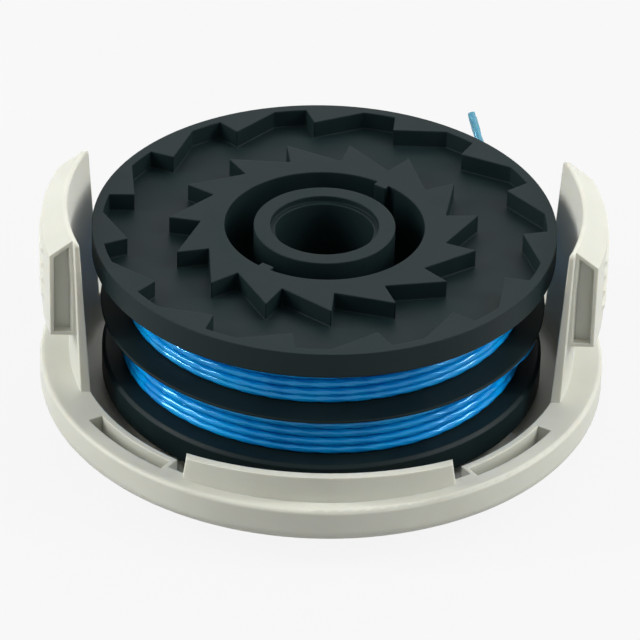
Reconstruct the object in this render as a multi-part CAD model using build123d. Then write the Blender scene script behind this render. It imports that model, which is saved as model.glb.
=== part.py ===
# Line spool in its latch cover, for a grass trimmer head.
# All sizes are in millimetres. Z is the spool's axis, pointing up out of the cover.
# X runs across the two latch arms, and the flat that the dome stands on is at Z zero.
import math
import os

from build123d import *

# Cover: dished shell
cover_radius = 52.4
rim_top_z = 12.0
dome_rise = 5.3
rest_flat_radius = 16.0
dome_edge_round = 2.6
rim_edge_round = 0.8
shell_wall = 2.2
dish_radius = 45.3
dish_corner_round = 1.6

# Cover: low walls on the front and back of the rim
low_wall_inner_radius = 48.1
low_wall_thickness = 1.5
low_wall_height = 4.6
low_wall_crown = 0.7
low_wall_base_width = 48.8
low_wall_top_width = 47.5
low_wall_bay_half_angle = 34.4

# Cover: pockets in the rim, one each side of each arm
pocket_inner_radius = 46.5
pocket_width = 2.7
pocket_depth = 4.5
pocket_start_angle = 31.2
pocket_end_angle = 54.7

# Cover: latch arms
arm_inner_radius = 45.3
arm_thickness = 1.7
arm_width = 32.8
arm_top_z = 44.1
arm_flare = 1.8
arm_top_thickness = 0.8
arm_top_round = 0.4
arm_corner_round = 1.0

# Cover: thumb boxes outside the arms
box_outer_radius = 51.9
box_width = 30.6
box_low_z = 23.7
box_shoulder_z = 40.7
box_wall = 0.7
box_pocket_radius = 48.1
box_pocket_depth = 1.7

# Cover: grip ridges on the thumb boxes
ridge_count = 4
ridge_pitch = 3.2
ridge_height = 0.4
ridge_foot = 1.5
ridge_width = 19.0
ridge_end_run = 1.0
ridge_low_z = 28.2

# Cover: socket boss that carries the spool
socket_wall = 2.1
socket_top_z = 16.2
socket_well_radius = 11.0
socket_lead_in = 0.5
socket_clearance = 0.08
spool_seat_z = 11.6

# Spool: hub tube, groove round it and drum
bore_radius = 9.1
counterbore_radius = 10.0
counterbore_depth = 1.2
hub_radius = 13.0
groove_radius = 18.4
groove_depth = 16.4
groove_wall = 1.8
groove_floor = 2.0
drum_radius = 30.0
drum_wall = 2.0

# Spool: flanges
top_flange_radius = 42.7
top_flange_low_z = 33.7
top_flange_height = 5.3
top_flange_floor = 1.8
top_flange_rim = 1.8
mid_flange_radius = 41.1
mid_flange_z = 23.4
mid_flange_thickness = 1.6
mid_flange_edge = 0.5
mid_flange_taper = 4.5
low_flange_radius = 40.9
low_flange_top_z = 13.6
low_flange_thickness = 2.0
low_flange_skirt = 5.3
low_flange_rim = 1.8
flange_edge_break = 0.6

# Spool: feed teeth in the top cup, and the two keys in the groove
tooth_count = 15
inner_root_radius = 22.8
inner_tip_radius = 28.6
inner_tip_angle = 9.0
inner_ramp_angle = 21.5
outer_tip_radius = 36.4
outer_tip_angle = 21.6
outer_ramp_angle = 13.5
tooth_back_angle = 1.8
tooth_sink = 0.8
key_angle = 54.0
key_width = 2.5
key_height = 1.2
key_length = 6.0

# Line: windings and the free end
line_diameter = 1.65
winding_radius = 38.3
winding_clearance = 0.05
winding_edge_break = 1.0


def section(r_in, r_out, z_low, z_high):
    # Rectangle in the half plane of radius and height
    return Pos((r_in + r_out) / 2, (z_low + z_high) / 2) * Rectangle(r_out - r_in, z_high - z_low)


def turned(sketch, angle=360.0, start=0.0):
    # Solid of revolution about the spool's axis, over an angle that starts from the X axis
    return Rot(0, 0, start) * revolve(Plane.XZ * sketch, Axis.Z, angle)


def corner(sketch, radius, z):
    # The sketch's corner nearest to a place in the half plane
    return sketch.vertices().sort_by_distance((radius, z, 0))[0]


def at(radius, angle):
    return (radius * math.cos(math.radians(angle)), radius * math.sin(math.radians(angle)))


# Dished shell of the cover, turned in one with its rim
dome_centre_z = ((cover_radius**2 - rest_flat_radius**2) / dome_rise + dome_rise) / 2
dome_radius = math.hypot(dome_centre_z, rest_flat_radius)


def dome_z(radius, inset=0.0):
    # Height of the dome's outer face, or of the face inset from it, at a radius
    return dome_centre_z - math.sqrt((dome_radius - inset) ** 2 - radius**2)


def dome_arc(end_radius, inset=0.0):
    # The dome's profile, or the one inset from it, from the edge of its flat to a radius
    middle = (rest_flat_radius + end_radius) / 2
    places = [(radius, dome_z(radius, inset)) for radius in (rest_flat_radius, middle, end_radius)]
    return ThreePointArc(*places)


outer_edge = dome_arc(cover_radius) + Polyline(
    (cover_radius, dome_rise),
    (cover_radius, rim_top_z),
    (0, rim_top_z),
    (0, 0),
    (rest_flat_radius, 0),
)
outer_face = make_face(outer_edge)
outer_face = fillet(corner(outer_face, cover_radius, dome_rise), dome_edge_round)
outer_face = fillet(corner(outer_face, cover_radius, rim_top_z), rim_edge_round)

dish_floor_z = dome_z(rest_flat_radius, shell_wall)
dish_side_z = dome_z(dish_radius, shell_wall)
dish_mouth_z = rim_top_z + shell_wall
dish_edge = dome_arc(dish_radius, shell_wall) + Polyline(
    (dish_radius, dish_side_z),
    (dish_radius, dish_mouth_z),
    (0, dish_mouth_z),
    (0, dish_floor_z),
    (rest_flat_radius, dish_floor_z),
)
dish_face = make_face(dish_edge)
dish_face = fillet(corner(dish_face, dish_radius, dish_side_z), dish_corner_round)
cover = turned(outer_face) - turned(dish_face)

# Bays that set the low walls further out than the rest of the dish
bay_low_z = dome_z(low_wall_inner_radius, shell_wall)
bay_face = section(dish_radius - shell_wall, low_wall_inner_radius, bay_low_z, dish_mouth_z)
for middle in (90, 270):
    cover -= turned(bay_face, 2 * low_wall_bay_half_angle, middle - low_wall_bay_half_angle)

# Pockets in the rim, between a thin inner wall and the outer band
pocket_face = section(
    pocket_inner_radius, pocket_inner_radius + pocket_width, rim_top_z - pocket_depth, dish_mouth_z
)
pocket_span = pocket_end_angle - pocket_start_angle
for start in (pocket_start_angle, 180 - pocket_end_angle, 180 + pocket_start_angle, -pocket_end_angle):
    cover -= turned(pocket_face, pocket_span, start)

# Low walls, with ends that lean in towards the top and a top edge that rises to its middle
low_wall_end_z = rim_top_z + low_wall_height
low_wall_top_z = low_wall_end_z + low_wall_crown
low_wall_root_z = rim_top_z - shell_wall
low_wall_face = section(
    low_wall_inner_radius,
    low_wall_inner_radius + low_wall_thickness,
    low_wall_root_z,
    low_wall_top_z + low_wall_thickness,
)
low_wall_edge = Polyline(
    (low_wall_top_width / 2, low_wall_end_z),
    (low_wall_base_width / 2, rim_top_z),
    (low_wall_base_width / 2, low_wall_root_z),
    (-low_wall_base_width / 2, low_wall_root_z),
    (-low_wall_base_width / 2, rim_top_z),
    (-low_wall_top_width / 2, low_wall_end_z),
)
low_wall_edge += ThreePointArc(
    (-low_wall_top_width / 2, low_wall_end_z),
    (0, low_wall_top_z),
    (low_wall_top_width / 2, low_wall_end_z),
)
low_wall_cutter = extrude(Plane.XZ * make_face(low_wall_edge), cover_radius, both=True)
for middle in (90, 270):
    cover += turned(low_wall_face, 2 * low_wall_bay_half_angle, middle - low_wall_bay_half_angle) & low_wall_cutter

# Latch arms: curved plates that lean outwards from the rim, each with a thumb box on its outer face
arm_root_z = rim_top_z - pocket_depth
arm_height = arm_top_z - rim_top_z
arm_outer_radius = arm_inner_radius + arm_thickness
arm_crest_radius = arm_inner_radius + arm_flare
crest_outer_radius = arm_crest_radius + arm_top_thickness
plate_face = make_face(
    Polyline(
        (arm_inner_radius, arm_root_z),
        (arm_outer_radius, arm_root_z),
        (arm_outer_radius, rim_top_z),
        (crest_outer_radius, arm_top_z),
        (arm_crest_radius, arm_top_z),
        (arm_inner_radius, rim_top_z),
        close=True,
    )
)
plate_face = fillet(corner(plate_face, arm_crest_radius, arm_top_z), arm_top_round)

box_root_radius = arm_inner_radius + arm_flare * (box_low_z - rim_top_z) / arm_height + arm_thickness / 2
box_face = make_face(
    Polyline(
        (box_root_radius, box_low_z),
        (box_outer_radius, box_low_z),
        (box_outer_radius, box_shoulder_z),
        (crest_outer_radius, arm_top_z),
        close=True,
    )
)
hollow_face = offset(box_face, -box_wall) - section(arm_inner_radius, box_pocket_radius, arm_root_z, arm_top_z)
arm_half_angle = math.degrees(math.asin(arm_width / 2 / arm_inner_radius)) + 5
arm_middle_z = (arm_top_z + arm_root_z) / 2


def slab(width):
    # Straight slab along X that trims a curved piece to its width
    return Pos(0, 0, arm_middle_z) * Box(3 * cover_radius, width, arm_top_z - arm_root_z)


def curved(face):
    return turned(face, 2 * arm_half_angle, -arm_half_angle)


plate_corners = slab(arm_width).edges().filter_by(Axis.X).group_by(Axis.Z)[-1]
plate = curved(plate_face) & fillet(plate_corners, arm_corner_round)
thumb_box = curved(box_face) & slab(box_width)
hollow = (curved(hollow_face) & slab(box_width + box_wall)) - slab(box_width - 2 * box_pocket_depth)
ridge_face = make_face(
    Polyline(
        (box_outer_radius - box_wall / 2, -ridge_foot / 2),
        (box_outer_radius, -ridge_foot / 2),
        (box_outer_radius + ridge_height, -ridge_foot / 4),
        (box_outer_radius + ridge_height, ridge_foot / 4),
        (box_outer_radius, ridge_foot / 2),
        (box_outer_radius - box_wall / 2, ridge_foot / 2),
        close=True,
    )
)
ridge_crest_width = ridge_width - 2 * ridge_end_run
ridge_foot_x = math.sqrt(box_outer_radius**2 - (ridge_width / 2) ** 2)
ridge_crest_x = math.sqrt((box_outer_radius + ridge_height) ** 2 - (ridge_crest_width / 2) ** 2)
ridge_plan = make_face(
    Polyline(
        (0, -ridge_width / 2),
        (ridge_foot_x, -ridge_width / 2),
        (ridge_crest_x, -ridge_crest_width / 2),
        (2 * cover_radius, -ridge_crest_width / 2),
        (2 * cover_radius, ridge_crest_width / 2),
        (ridge_crest_x, ridge_crest_width / 2),
        (ridge_foot_x, ridge_width / 2),
        (0, ridge_width / 2),
        close=True,
    )
)
ridge = curved(ridge_face) & extrude(ridge_plan, ridge_foot, both=True)
arm = plate + thumb_box - hollow
for row in range(ridge_count):
    arm += Pos(0, 0, ridge_low_z + row * ridge_pitch) * ridge
for turn in (0, 180):
    cover += Rot(0, 0, turn) * arm

# Socket boss in the middle of the dish: a well, a seat for the hub tube, and a ring that guides it
socket_radius = hub_radius + socket_clearance
boss_root_z = dish_floor_z - shell_wall / 2
boss_face = section(socket_well_radius, socket_radius + socket_wall, boss_root_z, spool_seat_z)
boss_face += section(socket_radius, socket_radius + socket_wall, boss_root_z, socket_top_z)
boss_face = chamfer(corner(boss_face, socket_radius, socket_top_z), socket_lead_in)
cover += turned(boss_face)

# Spool, turned section: hub tube, groove, drum and the three flanges
top_z = top_flange_low_z + top_flange_height
cup_floor_z = top_flange_low_z + top_flange_floor
cup_radius = top_flange_radius - top_flange_rim
groove_floor_z = top_z - groove_depth
groove_web_z = groove_floor_z - groove_floor
groove_outer_radius = groove_radius + groove_wall
skirt_low_z = low_flange_top_z - low_flange_skirt
drum_inner_radius = drum_radius - drum_wall

spool_face = section(bore_radius, hub_radius, spool_seat_z, top_z)
spool_face -= section(bore_radius, counterbore_radius, top_z - counterbore_depth, top_z)
spool_face += section(hub_radius, groove_outer_radius, groove_web_z, groove_floor_z)
spool_face += section(groove_radius, groove_outer_radius, groove_web_z, top_z)
spool_face += section(groove_radius, inner_root_radius, top_flange_low_z, top_z)
spool_face += section(inner_root_radius, cup_radius, top_flange_low_z, cup_floor_z)
spool_face += section(cup_radius, top_flange_radius, top_flange_low_z, top_z)
spool_face += section(
    drum_inner_radius, drum_radius, low_flange_top_z - low_flange_thickness, cup_floor_z
)
spool_face += section(
    drum_radius, low_flange_radius, low_flange_top_z - low_flange_thickness, low_flange_top_z
)
spool_face += section(
    low_flange_radius - low_flange_rim, low_flange_radius, skirt_low_z, low_flange_top_z
)
mid_face = make_face(
    Polyline(
        (drum_inner_radius, mid_flange_z - mid_flange_thickness / 2),
        (mid_flange_radius - mid_flange_taper, mid_flange_z - mid_flange_thickness / 2),
        (mid_flange_radius, mid_flange_z - mid_flange_edge / 2),
        (mid_flange_radius, mid_flange_z + mid_flange_edge / 2),
        (mid_flange_radius - mid_flange_taper, mid_flange_z + mid_flange_thickness / 2),
        (drum_inner_radius, mid_flange_z + mid_flange_thickness / 2),
        close=True,
    )
)
spool_face += mid_face
flange_corners = [
    corner(spool_face, top_flange_radius, top_flange_low_z),
    corner(spool_face, low_flange_radius, low_flange_top_z),
]
spool_face = chamfer(flange_corners, flange_edge_break)
spool = turned(spool_face)

# Feed teeth: each has a long ramp and one steep back, and both rings face the same way
inner_tooth = make_face(
    Polyline(
        at(inner_root_radius - tooth_sink, inner_tip_angle - inner_ramp_angle),
        at(inner_root_radius, inner_tip_angle - inner_ramp_angle),
        at(inner_tip_radius, inner_tip_angle),
        at(inner_root_radius, inner_tip_angle + tooth_back_angle),
        at(inner_root_radius - tooth_sink, inner_tip_angle + tooth_back_angle),
        close=True,
    )
)
outer_tooth = make_face(
    Polyline(
        at(cup_radius + tooth_sink, outer_tip_angle - outer_ramp_angle),
        at(cup_radius, outer_tip_angle - outer_ramp_angle),
        at(outer_tip_radius, outer_tip_angle),
        at(cup_radius, outer_tip_angle + tooth_back_angle),
        at(cup_radius + tooth_sink, outer_tip_angle + tooth_back_angle),
        close=True,
    )
)
tooth_root_z = cup_floor_z - tooth_sink
teeth = []
for step in range(tooth_count):
    turn = Rot(0, 0, step * 360 / tooth_count)
    for tooth in (inner_tooth, outer_tooth):
        teeth.append(turn * Pos(0, 0, tooth_root_z) * extrude(tooth, top_z - tooth_root_z))
spool += teeth

# Keys that stand out of the groove's outer wall
for angle in (key_angle, key_angle + 180):
    key = Box(key_height + groove_wall / 2, key_width, key_length)
    key_middle = groove_radius + groove_wall / 2 - (key_height + groove_wall / 2) / 2
    spool += Rot(0, 0, angle) * Pos(key_middle, 0, top_z - key_length / 2) * key

# Windings: the outer shape of the wound line in each bay
mid_low_z = mid_flange_z - mid_flange_thickness / 2
mid_high_z = mid_flange_z + mid_flange_thickness / 2


def winding(z_low, z_high):
    face = section(
        drum_radius + winding_clearance, winding_radius, z_low + winding_clearance, z_high - winding_clearance
    )
    outer_corners = face.vertices().sort_by(Axis.X)[-2:]
    return turned(chamfer(outer_corners, winding_edge_break))


upper_winding = winding(mid_high_z, top_flange_low_z)
lower_winding = winding(low_flange_top_z, mid_low_z)

# Free end of the lower line: out of the winding, down round it, then off and up behind the set
tail_points = [
    Vector(32.3, -19.9, 20.6),
    Vector(36.7, -14.4, 20.2),
    Vector(39.1, -5.6, 18.8),
    Vector(39.4, 3.2, 17.3),
    Vector(38.2, 12.2, 16.6),
    Vector(35.9, 21.4, 18.3),
    Vector(33.4, 31.2, 22.6),
    Vector(30.8, 41.2, 27.9),
    Vector(28.0, 50.8, 33.0),
]
tail_radii = []
for before, here, after in zip(tail_points, tail_points[1:], tail_points[2:]):
    half_turn = math.radians((here - before).get_angle(after - here)) / 2
    shorter = min((here - before).length, (after - here).length)
    tail_radii.append(0.45 * shorter / math.tan(half_turn))
print("tail radii", [round(radius, 1) for radius in tail_radii])
tail_path = FilletPolyline(*tail_points, radius=tail_radii)
tail_start = Plane(origin=tail_path @ 0, z_dir=tail_path % 0)
line_tail = sweep(tail_start * Circle(line_diameter / 2), path=tail_path)
tail_volume = math.pi * (line_diameter / 2) ** 2 * tail_path.length
print("tail length", round(tail_path.length, 1), "volume ratio", round(line_tail.volume / tail_volume, 4))

os.makedirs("parts", exist_ok=True)
export_step(cover, "parts/cover.step")
export_step(spool, "parts/spool.step")
export_step(upper_winding, "parts/upper_winding.step")
export_step(lower_winding, "parts/lower_winding.step")
export_step(line_tail, "parts/line_tail.step")
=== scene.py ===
"""Wound trimmer line spool in its latch cover: finishes, wound line, free line end, light and camera."""

import math

import bpy
from mathutils import Matrix, Vector


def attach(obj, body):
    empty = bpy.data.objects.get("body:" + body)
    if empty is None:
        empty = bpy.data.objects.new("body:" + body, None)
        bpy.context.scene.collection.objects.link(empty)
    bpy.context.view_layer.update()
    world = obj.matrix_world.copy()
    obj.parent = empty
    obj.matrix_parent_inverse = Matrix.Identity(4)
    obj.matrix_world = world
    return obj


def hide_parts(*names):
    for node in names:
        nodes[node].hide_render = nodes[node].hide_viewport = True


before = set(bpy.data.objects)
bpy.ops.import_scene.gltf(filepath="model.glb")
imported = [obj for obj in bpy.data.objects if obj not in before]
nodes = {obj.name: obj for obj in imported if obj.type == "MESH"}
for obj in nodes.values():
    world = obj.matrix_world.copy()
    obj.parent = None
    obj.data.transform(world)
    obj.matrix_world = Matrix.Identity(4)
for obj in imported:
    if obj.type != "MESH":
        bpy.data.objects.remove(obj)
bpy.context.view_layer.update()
scene = bpy.context.scene

# Spool and line, in metres, as in the part
LINE_RADIUS = 0.000825
DRUM_RADIUS = 0.030
UPPER_BAY = (0.0242, 0.0337)
LOWER_BAY = (0.0136, 0.0226)

# Packs of wound line: their outer radius, the seed of their wander, and where the upper line ends
UPPER_PACK_RADIUS = 0.0367
LOWER_PACK_RADIUS = 0.0374
UPPER_SEED = 0.4
LOWER_SEED = 2.3
UPPER_END_ANGLE = math.radians(150)

# Lay of the turns in a layer: the line rests at one flange, climbs to the other and rests there
LINE_LAYERS = 5
TURN_PITCH = 1.10 * 2 * LINE_RADIUS
FLANGE_ROOM = 1.06 * LINE_RADIUS
DRUM_ROOM = 1.1 * LINE_RADIUS
REST_TURNS_AT_START = 0.85
REST_TURNS_AT_END = 0.15
STEP_OUT_TURNS = 0.2
LIFT_TURNS = 0.14

# Wander of the two outer layers, and the length of line between points in each layer
TOP_LAYER = LINE_LAYERS - 1
LOOSENESS = {TOP_LAYER: 1.0, TOP_LAYER - 1: 0.5}
RADIUS_WANDER = 0.00022
HEIGHT_WANDER = 0.00013
RADIUS_SEED_SHIFT = 1.7
STRIDES = {TOP_LAYER: 0.00055, TOP_LAYER - 1: 0.0012}
HIDDEN_STRIDE = 0.0028

# Each wave of the wander: its share, its waves in a turn, and how far the seed shifts it
WANDER_WAVES = ((0.55, 3.0, 1.0), (0.30, 5.02, 2.1), (0.15, 1.31, 0.7))

# Section of the line: a rounded square that twists
SECTION_CORNERS = 12
SECTION_POWER = 4.5
SECTION_FLAT_SHARE = 0.86
TWIST_LENGTH = 0.020

# Free end of the lower line, in metres, along the route of its solid
TAIL_ROUTE = [
    (0.0323, -0.0199, 0.0206),
    (0.0367, -0.0144, 0.0202),
    (0.0391, -0.0056, 0.0188),
    (0.0394, 0.0032, 0.0173),
    (0.0382, 0.0122, 0.0166),
    (0.0359, 0.0214, 0.0183),
    (0.0334, 0.0312, 0.0226),
    (0.0308, 0.0412, 0.0279),
    (0.0280, 0.0508, 0.0330),
]
TAIL_OVERLAP = 0.0006
# Span along Y over which the free end pales into its painted backlight glow
FADE_ROOT_Y = -0.018
FADE_END_Y = 0.040

# Finish of the line: its deep and light tones, wound and at its free end, whose paler tones are a painted
# glow of back light shining through the thin line, and its skin
WOUND_TONES = ((0.001, 0.23, 0.62), (0.002, 0.33, 0.78))
FREE_END_PAINTED_GLOW_TONES = ((0.090, 0.265, 0.340), (0.118, 0.318, 0.400))
LINE_GRAIN_SCALE = 1500.0
LINE_MOTTLE_SCALE = 160.0
LINE_BUMP = 0.05

# Every finish: the middle range of its noise mask, and the height of its grain in metres
MOTTLE_LOW = 0.3
MOTTLE_HIGH = 0.7
GRAIN_HEIGHT = 0.0001

# Studio: floor, surround and soft boxes (name, place, width, height, watts)
FLOOR_REACH = 4.0
FLOOR_GREY = (0.32, 0.32, 0.315, 1)
FLOOR_WHITE_SHARE = 0.89
SURROUND_LIGHT = 0.40
WHITE = (1, 1, 1, 1)
LAMP_AIM = (0, 0, 0.02)
SOFT_BOXES = (
    ("back_box", (0.25, 0.48, 0.80), 1.0, 0.5, 2.6),
    ("left_box", (-0.66, -0.02, 0.42), 0.13, 0.40, 3.5),
    ("right_box", (0.60, -0.02, 0.50), 0.13, 0.40, 2.9),
    ("left_strip", (-0.64, -0.27, 0.32), 0.06, 0.42, 1.3),
    ("right_strip", (0.64, -0.27, 0.32), 0.06, 0.42, 1.5),
)

# Camera: the direction it looks from, what it turns round, what it aims at, and its lens
CAMERA_ELEVATION = math.radians(33.1)
CAMERA_AZIMUTH = math.radians(-0.25)
CAMERA_ROLL = math.radians(1.45)
CAMERA_DISTANCE = 0.890
CAMERA_PIVOT = (0, 0, 0.0255)
CAMERA_AIM = (-0.0004, 0, 0.0181)
FOCAL_PIXELS = 2238
FRAME_PIXELS = 640
ENLARGED = 2.15
SENSOR_WIDTH = 36.0


# Shared finishes
def moulded_skin_group():
    """Fine grain of a moulded skin, the broad mottle of its flow, and edges softened by the tool."""
    group = bpy.data.node_groups.new("moulded_skin", "ShaderNodeTree")
    face = group.interface
    face.new_socket("Grain Scale", in_out="INPUT", socket_type="NodeSocketFloat")
    face.new_socket("Mottle Scale", in_out="INPUT", socket_type="NodeSocketFloat")
    face.new_socket("Edge Radius", in_out="INPUT", socket_type="NodeSocketFloat")
    face.new_socket("Height", in_out="OUTPUT", socket_type="NodeSocketFloat")
    face.new_socket("Mottle", in_out="OUTPUT", socket_type="NodeSocketFloat")
    face.new_socket("Edge Normal", in_out="OUTPUT", socket_type="NodeSocketVector")
    ins = group.nodes.new("NodeGroupInput")
    outs = group.nodes.new("NodeGroupOutput")
    place = group.nodes.new("ShaderNodeTexCoord")
    grain = group.nodes.new("ShaderNodeTexNoise")
    grain.inputs["Detail"].default_value = 3.0
    grain.inputs["Roughness"].default_value = 0.65
    mottle = group.nodes.new("ShaderNodeTexNoise")
    mottle.inputs["Detail"].default_value = 2.0
    mottle.inputs["Roughness"].default_value = 0.5
    edge = group.nodes.new("ShaderNodeBevel")
    edge.samples = 6
    link = group.links.new
    link(place.outputs["Object"], grain.inputs["Vector"])
    link(place.outputs["Object"], mottle.inputs["Vector"])
    link(ins.outputs["Grain Scale"], grain.inputs["Scale"])
    link(ins.outputs["Mottle Scale"], mottle.inputs["Scale"])
    link(ins.outputs["Edge Radius"], edge.inputs["Radius"])
    link(grain.outputs["Fac"], outs.inputs["Height"])
    link(mottle.outputs["Fac"], outs.inputs["Mottle"])
    link(edge.outputs["Normal"], outs.inputs["Edge Normal"])
    return group


def drift(tree, mask, low, high):
    """Value that goes from low to high with a mottle mask."""
    spread = tree.nodes.new("ShaderNodeMapRange")
    spread.inputs["From Min"].default_value = MOTTLE_LOW
    spread.inputs["From Max"].default_value = MOTTLE_HIGH
    spread.inputs["To Min"].default_value = low
    spread.inputs["To Max"].default_value = high
    tree.links.new(mask, spread.inputs["Value"])
    return spread.outputs["Result"]


def two_tone(tree, mask, deep, light):
    """Colour that goes from a deep tone to a light one with a mottle mask."""
    tone = tree.nodes.new("ShaderNodeValToRGB")
    tone.color_ramp.elements[0].position = MOTTLE_LOW
    tone.color_ramp.elements[0].color = (*deep, 1)
    tone.color_ramp.elements[1].position = MOTTLE_HIGH
    tone.color_ramp.elements[1].color = (*light, 1)
    tree.links.new(mask, tone.inputs["Fac"])
    return tone.outputs["Color"]


def painted_glow_fade(tree, root_tone, end_tone):
    """Painted backlight glow: tone that fades from a line's root to a paler free end, which runs back
    along Y towards the back lamp.
    """
    place = tree.nodes.new("ShaderNodeTexCoord")
    split = tree.nodes.new("ShaderNodeSeparateXYZ")
    run = tree.nodes.new("ShaderNodeMapRange")
    run.interpolation_type = "SMOOTHSTEP"
    run.inputs["From Min"].default_value = FADE_ROOT_Y
    run.inputs["From Max"].default_value = FADE_END_Y
    fade = tree.nodes.new("ShaderNodeMix")
    fade.data_type = "RGBA"
    link = tree.links.new
    link(place.outputs["Object"], split.inputs["Vector"])
    link(split.outputs["Y"], run.inputs["Value"])
    link(run.outputs["Result"], fade.inputs["Factor"])
    link(root_tone, fade.inputs["A"])
    link(end_tone, fade.inputs["B"])
    return fade.outputs["Result"]


def skinned_material(name, grain_scale, mottle_scale, bump, rough):
    """New material with the moulded skin in it, whose grain and mottle drive its relief and roughness."""
    material = bpy.data.materials.new(name)
    material.use_nodes = True
    tree = material.node_tree
    body = tree.nodes["Principled BSDF"]
    skin = tree.nodes.new("ShaderNodeGroup")
    skin.node_tree = moulded_skin
    skin.inputs["Grain Scale"].default_value = grain_scale
    skin.inputs["Mottle Scale"].default_value = mottle_scale
    relief = tree.nodes.new("ShaderNodeBump")
    relief.inputs["Strength"].default_value = bump
    relief.inputs["Distance"].default_value = GRAIN_HEIGHT
    link = tree.links.new
    link(drift(tree, skin.outputs["Mottle"], *rough), body.inputs["Roughness"])
    link(skin.outputs["Height"], relief.inputs["Height"])
    link(relief.outputs["Normal"], body.inputs["Normal"])
    return material, body, skin, relief


def moulded_plastic(name, tones, rough, specular, scatter, grain_scale, mottle_scale, bump, edge_radius):
    """Moulded plastic, whose tone and roughness drift together under a fine grain."""
    material, body, skin, relief = skinned_material(name, grain_scale, mottle_scale, bump, rough)
    body.inputs["Specular IOR Level"].default_value = specular
    body.inputs["Subsurface Weight"].default_value = scatter
    body.inputs["Subsurface Radius"].default_value = (1.0, 0.88, 0.70)
    body.inputs["Subsurface Scale"].default_value = 0.0008
    skin.inputs["Edge Radius"].default_value = edge_radius
    tree = material.node_tree
    tree.links.new(skin.outputs["Edge Normal"], relief.inputs["Normal"])
    tree.links.new(two_tone(tree, skin.outputs["Mottle"], *tones), body.inputs["Base Color"])
    return material


def nylon_line(name, rough, specular, scatter, painted_glow_tones=None):
    """Glossy nylon line, with light that spreads inside it, whose tone may fade towards its free end into
    a painted backlight glow.
    """
    material, body, skin, _ = skinned_material(name, LINE_GRAIN_SCALE, LINE_MOTTLE_SCALE, LINE_BUMP, rough)
    body.inputs["IOR"].default_value = 1.53
    body.inputs["Specular IOR Level"].default_value = specular
    body.inputs["Specular Tint"].default_value = (0.3, 0.7, 1.0, 1)
    body.inputs["Subsurface Weight"].default_value = scatter
    body.inputs["Subsurface Radius"].default_value = (0.2, 0.6, 1.0)
    body.inputs["Subsurface Scale"].default_value = 0.002
    tree = material.node_tree
    tone = two_tone(tree, skin.outputs["Mottle"], *WOUND_TONES)
    # Painted backlight glow: the free end's paler tones stand in for light shining through the line from
    # behind
    if painted_glow_tones:
        tone = painted_glow_fade(tree, tone, two_tone(tree, skin.outputs["Mottle"], *painted_glow_tones))
    tree.links.new(tone, body.inputs["Base Color"])
    return material


moulded_skin = moulded_skin_group()
cover_plastic = moulded_plastic(
    "cover_plastic",
    tones=((0.580, 0.584, 0.515), (0.630, 0.634, 0.565)),
    rough=(0.40, 0.52),
    specular=0.4,
    scatter=0.8,
    grain_scale=2600.0,
    mottle_scale=70.0,
    bump=0.10,
    edge_radius=0.0003,
)
spool_plastic = moulded_plastic(
    "spool_plastic",
    tones=((0.0040, 0.0105, 0.0115), (0.0065, 0.0150, 0.0160)),
    rough=(0.46, 0.58),
    specular=0.14,
    scatter=0.0,
    grain_scale=2200.0,
    mottle_scale=90.0,
    bump=0.16,
    edge_radius=0.0004,
)
wound_nylon = nylon_line("wound_nylon", rough=(0.06, 0.12), specular=0.8, scatter=0.6)
# The free end's paler tones are a painted backlight glow, not the line's own colour
free_nylon = nylon_line(
    "free_nylon", rough=(0.10, 0.18), specular=0.6, scatter=0.6, painted_glow_tones=FREE_END_PAINTED_GLOW_TONES
)

for node, finish in (("cover", cover_plastic), ("spool", spool_plastic)):
    nodes[node].data.materials.clear()
    nodes[node].data.materials.append(finish)


# Wound line
def wander(angle, seed):
    """Slow wander of a hand-guided line, the same at each run, about from -1 to 1."""
    return sum(share * math.sin(waves * angle + shift * seed) for share, waves, shift in WANDER_WAVES)


def winding_path(bay, pack_radius, seed, end_angle, lift_to):
    """Points of one bay's line, layer on layer from the drum outwards, with its end lifted to a point."""
    low = bay[0] + FLANGE_ROOM
    high = bay[1] - FLANGE_ROOM
    first = DRUM_RADIUS + DRUM_ROOM
    last = pack_radius - LINE_RADIUS
    layer_gap = (last - first) / TOP_LAYER
    climb_turns = (high - low) / TURN_PITCH
    turns_a_layer = REST_TURNS_AT_START + climb_turns + REST_TURNS_AT_END
    total_turns = LINE_LAYERS * turns_a_layer
    start_angle = end_angle - total_turns * 2 * math.pi
    points = []
    turn = 0.0
    while turn < total_turns:
        layer = min(int(turn / turns_a_layer), TOP_LAYER)
        within = turn - layer * turns_a_layer
        share = min(max((within - REST_TURNS_AT_START) / climb_turns, 0.0), 1.0)
        upward = (TOP_LAYER - layer) % 2 == 0
        z = low + (high - low) * (share if upward else 1 - share)
        step_out = min(1.0, within / STEP_OUT_TURNS) if layer else 1.0
        radius = first + layer_gap * (layer - 1 + step_out)
        angle = start_angle + turn * 2 * math.pi
        loose = LOOSENESS.get(layer, 0.0)
        radius += loose * RADIUS_WANDER * wander(angle, seed + RADIUS_SEED_SHIFT)
        z += loose * HEIGHT_WANDER * wander(angle, seed)
        z = min(max(z, low), high)
        if lift_to:
            lift = min(max((turn - total_turns) / LIFT_TURNS + 1, 0.0), 1.0)
            lift = lift * lift * (3 - 2 * lift)
            radius += (math.hypot(lift_to[0], lift_to[1]) - radius) * lift
            z += (lift_to[2] - z) * lift
        points.append(Vector((radius * math.cos(angle), radius * math.sin(angle), z)))
        turn += STRIDES.get(layer, HIDDEN_STRIDE) / (2 * math.pi * radius)
    return points


def route_length(points):
    return sum((b - a).length for a, b in zip(points, points[1:]))


def line_section():
    """Corners of the line's rounded square section, as angle and reach."""
    corners = []
    for k in range(SECTION_CORNERS):
        phi = 2 * math.pi * k / SECTION_CORNERS
        spread = abs(math.cos(phi)) ** SECTION_POWER + abs(math.sin(phi)) ** SECTION_POWER
        corners.append((phi, LINE_RADIUS * SECTION_FLAT_SHARE * spread ** (-1 / SECTION_POWER)))
    return corners


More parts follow.
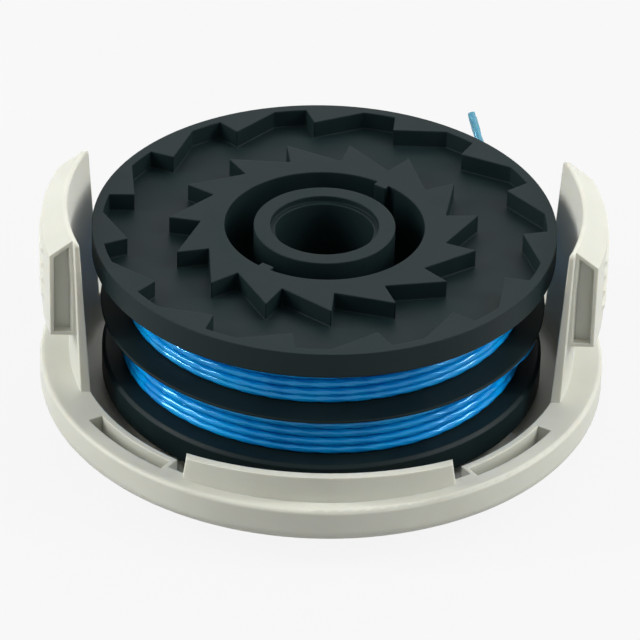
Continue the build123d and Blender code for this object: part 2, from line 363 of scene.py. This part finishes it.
def twisted_line(name, points, run=0.0):
    """Mesh of a square line, twisted along its length, that follows the points.

    run is the length of line before the first point, so that a line cut in two keeps its twist.
    """
    count = len(points)
    section = line_section()
    verts = []
    for i, point in enumerate(points):
        before = points[max(i - 1, 0)]
        after = points[min(i + 1, count - 1)]
        along = (after - before).normalized()
        out = Vector((point.x, point.y, 0)).normalized()
        out = (out - along * out.dot(along)).normalized()
        side = along.cross(out)
        if i:
            run += (point - before).length
        twist = 2 * math.pi * run / TWIST_LENGTH
        for phi, reach in section:
            outward = reach * math.cos(phi + twist)
            sideways = reach * math.sin(phi + twist)
            verts.append(point + out * outward + side * sideways)
    faces = []
    for i in range(count - 1):
        for k in range(SECTION_CORNERS):
            a = i * SECTION_CORNERS + k
            b = i * SECTION_CORNERS + (k + 1) % SECTION_CORNERS
            faces.append((a, b, b + SECTION_CORNERS, a + SECTION_CORNERS))
    faces.append(tuple(range(SECTION_CORNERS - 1, -1, -1)))
    faces.append(tuple(range((count - 1) * SECTION_CORNERS, count * SECTION_CORNERS)))
    mesh = bpy.data.meshes.new(name)
    mesh.from_pydata([tuple(v) for v in verts], [], faces)
    mesh.polygons.foreach_set("use_smooth", [len(face) == 4 for face in faces])
    mesh.update()
    piece = bpy.data.objects.new(name, mesh)
    scene.collection.objects.link(piece)
    return piece


def wound_line(name, points, node):
    piece = twisted_line(name, points)
    piece.data.materials.append(wound_nylon)
    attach(piece, "spool")
    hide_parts(node)


tail_root = Vector(TAIL_ROUTE[0])
lower_end_angle = math.atan2(tail_root.y, tail_root.x) + TAIL_OVERLAP / tail_root.xy.length
upper_points = winding_path(UPPER_BAY, UPPER_PACK_RADIUS, UPPER_SEED, UPPER_END_ANGLE, None)
lower_points = winding_path(LOWER_BAY, LOWER_PACK_RADIUS, LOWER_SEED, lower_end_angle, TAIL_ROUTE[0])
wound_line("upper_wound_line", upper_points, "upper_winding")
wound_line("lower_wound_line", lower_points, "lower_winding")


# Free end of the lower line
def smooth_route(name, route):
    """Points along one smooth curve that the route's control points draw."""
    curve = bpy.data.curves.new(name, "CURVE")
    curve.dimensions = "3D"
    curve.resolution_u = 24
    spline = curve.splines.new("NURBS")
    spline.points.add(len(route) - 1)
    for control, place in zip(spline.points, route):
        control.co = (*place, 1)
    spline.order_u = 3
    spline.use_endpoint_u = True
    holder = bpy.data.objects.new(name, curve)
    scene.collection.objects.link(holder)
    bpy.context.view_layer.update()
    line = bpy.data.meshes.new_from_object(holder)
    points = [v.co.copy() for v in line.vertices]
    bpy.data.objects.remove(holder)
    bpy.data.meshes.remove(line)
    return points


tail_points = smooth_route("tail_route", TAIL_ROUTE)
tail = twisted_line("line_tail_end", tail_points, run=route_length(lower_points) - TAIL_OVERLAP)
tail.data.materials.append(free_nylon)
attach(tail, "spool")
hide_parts("line_tail")


# Floor, light and camera
def seen_straight(tree):
    """Mask that is 1 for what the camera sees directly, in a reflection or through a clear piece."""
    ray = tree.nodes.new("ShaderNodeLightPath")
    first = tree.nodes.new("ShaderNodeMath")
    first.operation = "MAXIMUM"
    second = tree.nodes.new("ShaderNodeMath")
    second.operation = "MAXIMUM"
    link = tree.links.new
    link(ray.outputs["Is Camera Ray"], first.inputs[0])
    link(ray.outputs["Is Glossy Ray"], first.inputs[1])
    link(first.outputs["Value"], second.inputs[0])
    link(ray.outputs["Is Transmission Ray"], second.inputs[1])
    return second.outputs["Value"]


def pale_floor():
    """Pale sheet that looks almost white and keeps the set's shadow."""
    mesh = bpy.data.meshes.new("pale_floor")
    corners = [(x * FLOOR_REACH, y * FLOOR_REACH, 0) for x, y in ((-1, -1), (1, -1), (1, 1), (-1, 1))]
    mesh.from_pydata(corners, [], [(0, 1, 2, 3)])
    floor = bpy.data.objects.new("pale_floor", mesh)
    scene.collection.objects.link(floor)
    material = bpy.data.materials.new("white_sweep")
    material.use_nodes = True
    tree = material.node_tree
    paper = tree.nodes["Principled BSDF"]
    paper.inputs["Base Color"].default_value = FLOOR_GREY
    paper.inputs["Roughness"].default_value = 0.9
    paper.inputs["Specular IOR Level"].default_value = 0.1
    glow = tree.nodes.new("ShaderNodeEmission")
    glow.inputs["Color"].default_value = WHITE
    glow.inputs["Strength"].default_value = 1.0
    share = tree.nodes.new("ShaderNodeMath")
    share.operation = "MULTIPLY"
    share.inputs[1].default_value = FLOOR_WHITE_SHARE
    mix = tree.nodes.new("ShaderNodeMixShader")
    out = tree.nodes["Material Output"]
    link = tree.links.new
    link(seen_straight(tree), share.inputs[0])
    link(share.outputs["Value"], mix.inputs["Fac"])
    link(paper.outputs["BSDF"], mix.inputs[1])
    link(glow.outputs["Emission"], mix.inputs[2])
    link(mix.outputs["Shader"], out.inputs["Surface"])
    floor.data.materials.append(material)


def studio_world():
    """Surround that looks white and lights the set only dimly."""
    world = bpy.data.worlds.new("studio_white")
    world.use_nodes = True
    scene.world = world
    tree = world.node_tree
    dim = tree.nodes["Background"]
    dim.inputs["Color"].default_value = WHITE
    dim.inputs["Strength"].default_value = SURROUND_LIGHT
    white = tree.nodes.new("ShaderNodeBackground")
    white.inputs["Color"].default_value = WHITE
    white.inputs["Strength"].default_value = 1.0
    mix = tree.nodes.new("ShaderNodeMixShader")
    out = tree.nodes["World Output"]
    link = tree.links.new
    link(seen_straight(tree), mix.inputs["Fac"])
    link(dim.outputs["Background"], mix.inputs[1])
    link(white.outputs["Background"], mix.inputs[2])
    link(mix.outputs["Shader"], out.inputs["Surface"])


def soft_box(name, place, width, height, watts):
    data = bpy.data.lights.new(name, "AREA")
    data.shape = "RECTANGLE"
    data.size = width
    data.size_y = height
    data.energy = watts
    lamp = bpy.data.objects.new(name, data)
    scene.collection.objects.link(lamp)
    lamp.location = place
    lamp.rotation_euler = (Vector(LAMP_AIM) - Vector(place)).to_track_quat("-Z", "Y").to_euler()


def photo_camera():
    """Camera where the photograph was taken from, turned to put the set in the middle of the frame."""
    level = math.cos(CAMERA_ELEVATION)
    towards = Vector(
        (math.sin(CAMERA_AZIMUTH) * level, -math.cos(CAMERA_AZIMUTH) * level, math.sin(CAMERA_ELEVATION))
    )
    place = Vector(CAMERA_PIVOT) + towards * CAMERA_DISTANCE
    ahead = (Vector(CAMERA_AIM) - place).normalized()
    right = ahead.cross(Vector((0, 0, 1))).normalized()
    up = right.cross(ahead)
    right_rolled = right * math.cos(CAMERA_ROLL) + up * math.sin(CAMERA_ROLL)
    up_rolled = up * math.cos(CAMERA_ROLL) - right * math.sin(CAMERA_ROLL)
    turn = Matrix((right_rolled, up_rolled, -ahead)).transposed()
    data = bpy.data.cameras.new("photo_camera")
    data.sensor_width = SENSOR_WIDTH
    data.lens = FOCAL_PIXELS * ENLARGED / FRAME_PIXELS * SENSOR_WIDTH
    data.clip_start = 0.05
    data.clip_end = 20.0
    camera = bpy.data.objects.new("photo_camera", data)
    scene.collection.objects.link(camera)
    camera.matrix_world = Matrix.Translation(place) @ turn.to_4x4()
    scene.camera = camera


pale_floor()
studio_world()
for box in SOFT_BOXES:
    soft_box(*box)
photo_camera()
scene.view_settings.view_transform = "Standard"
